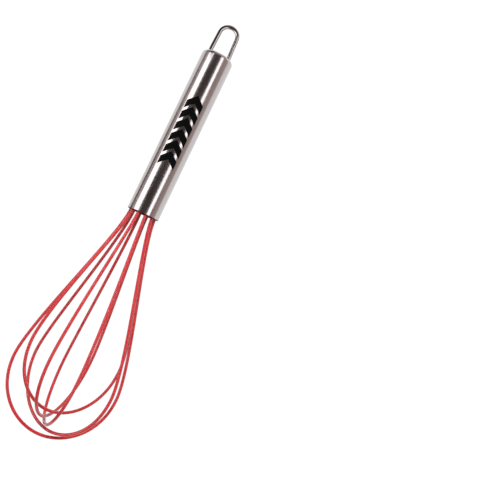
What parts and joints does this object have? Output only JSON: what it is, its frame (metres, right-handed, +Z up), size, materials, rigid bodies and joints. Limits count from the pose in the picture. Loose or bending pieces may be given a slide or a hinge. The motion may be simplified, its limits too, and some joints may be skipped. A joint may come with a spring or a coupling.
{
  "type": "balloon whisk",
  "caption": "Hand balloon whisk: a steel tube handle with a wire hanging loop, and a balloon of silicone-coated wire loops.",
  "frame": {"origin": "on the table, under the middle of the whisk as it lies at rest", "axes": "+X from the balloon of wires to the hanging loop, +Z up from the table, +Y across"},
  "size_m": [0.2562, 0.0634, 0.0599],
  "materials": {
    "handle_steel": "satin-polished stainless steel",
    "hanger_steel": "polished stainless wire",
    "plug_nylon": "moulded black nylon",
    "resin": "cast epoxy",
    "red_silicone": "smooth satin red silicone",
    "spring_steel": "drawn spring wire"
  },
  "bodies": {
    "root": {"handle_tube": "handle_steel", "end_cap": "handle_steel", "hanging_loop": "hanger_steel", "wire_plug": "plug_nylon", "potting_resin": "resin", "silicone_coating_1": "red_silicone", "silicone_coating_2": "red_silicone", "silicone_coating_3": "red_silicone", "silicone_coating_4": "red_silicone", "silicone_coating_5": "red_silicone", "wire_core_1": "spring_steel", "wire_core_2": "spring_steel", "wire_core_3": "spring_steel", "wire_core_4": "spring_steel", "wire_core_5": "spring_steel"}
  },
  "joints": []
}
